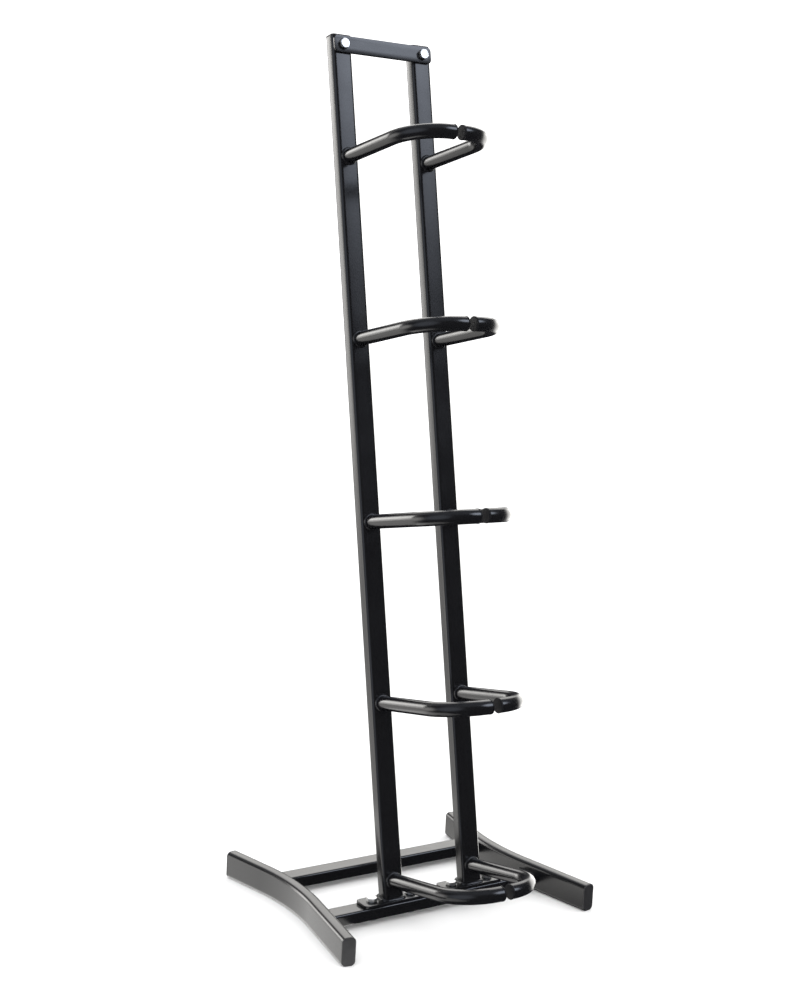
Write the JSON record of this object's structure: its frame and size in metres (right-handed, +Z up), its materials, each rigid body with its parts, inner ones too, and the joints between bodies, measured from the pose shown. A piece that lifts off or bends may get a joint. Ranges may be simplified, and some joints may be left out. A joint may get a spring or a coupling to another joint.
{
  "type": "ball storage rack",
  "caption": "Free-standing leaning rack of black steel tube. Pairs of bent arms nearly close into rings that each cradle one ball, above a low base of curved rails and cross tubes.",
  "frame": {"origin": "on the floor, under the middle of the rack's bounding box", "axes": "+Z up; +X to the rack's right as seen from the front; -Y is the front, where the arms point and the balls go in"},
  "size_m": [0.5206, 0.549, 1.5072],
  "materials": {
    "black_powder_coat": "semi-gloss black powder coat with a very fine orange peel",
    "black_plastic": "satin moulded black plastic",
    "zinc_plated_steel": "bright zinc plating"
  },
  "bodies": {
    "root": {"arm_1_left": "black_powder_coat", "arm_1_right": "black_powder_coat", "arm_2_left": "black_powder_coat", "arm_2_right": "black_powder_coat", "arm_3_left": "black_powder_coat", "arm_3_right": "black_powder_coat", "arm_4_left": "black_powder_coat", "arm_4_right": "black_powder_coat", "arm_5_left": "black_powder_coat", "arm_5_right": "black_powder_coat", "arm_cap_1_left": "black_plastic", "arm_cap_1_right": "black_plastic", "arm_cap_2_left": "black_plastic", "arm_cap_2_right": "black_plastic", "arm_cap_3_left": "black_plastic", "arm_cap_3_right": "black_plastic", "arm_cap_4_left": "black_plastic", "arm_cap_4_right": "black_plastic", "arm_cap_5_left": "black_plastic", "arm_cap_5_right": "black_plastic", "cross_tube_front": "black_powder_coat", "cross_tube_rear": "black_powder_coat", "crossbar_bolt_left": "zinc_plated_steel", "crossbar_bolt_right": "zinc_plated_steel", "crossbar_nut_left": "zinc_plated_steel", "crossbar_nut_right": "zinc_plated_steel", "crossbar_washer_left": "zinc_plated_steel", "crossbar_washer_right": "zinc_plated_steel", "foot_bolt_inner_left": "zinc_plated_steel", "foot_bolt_inner_right": "zinc_plated_steel", "foot_bolt_outer_left": "zinc_plated_steel", "foot_bolt_outer_right": "zinc_plated_steel", "foot_nut_inner_left": "zinc_plated_steel", "foot_nut_inner_right": "zinc_plated_steel", "foot_nut_outer_left": "zinc_plated_steel", "foot_nut_outer_right": "zinc_plated_steel", "foot_plate_left": "black_powder_coat", "foot_plate_right": "black_powder_coat", "rail_cap_front_left": "black_plastic", "rail_cap_front_right": "black_plastic", "rail_cap_rear_left": "black_plastic", "rail_cap_rear_right": "black_plastic", "side_rail_left": "black_powder_coat", "side_rail_right": "black_powder_coat", "top_crossbar": "black_powder_coat", "upright_cap_left": "black_plastic", "upright_cap_right": "black_plastic", "upright_left": "black_powder_coat", "upright_right": "black_powder_coat"}
  },
  "joints": []
}
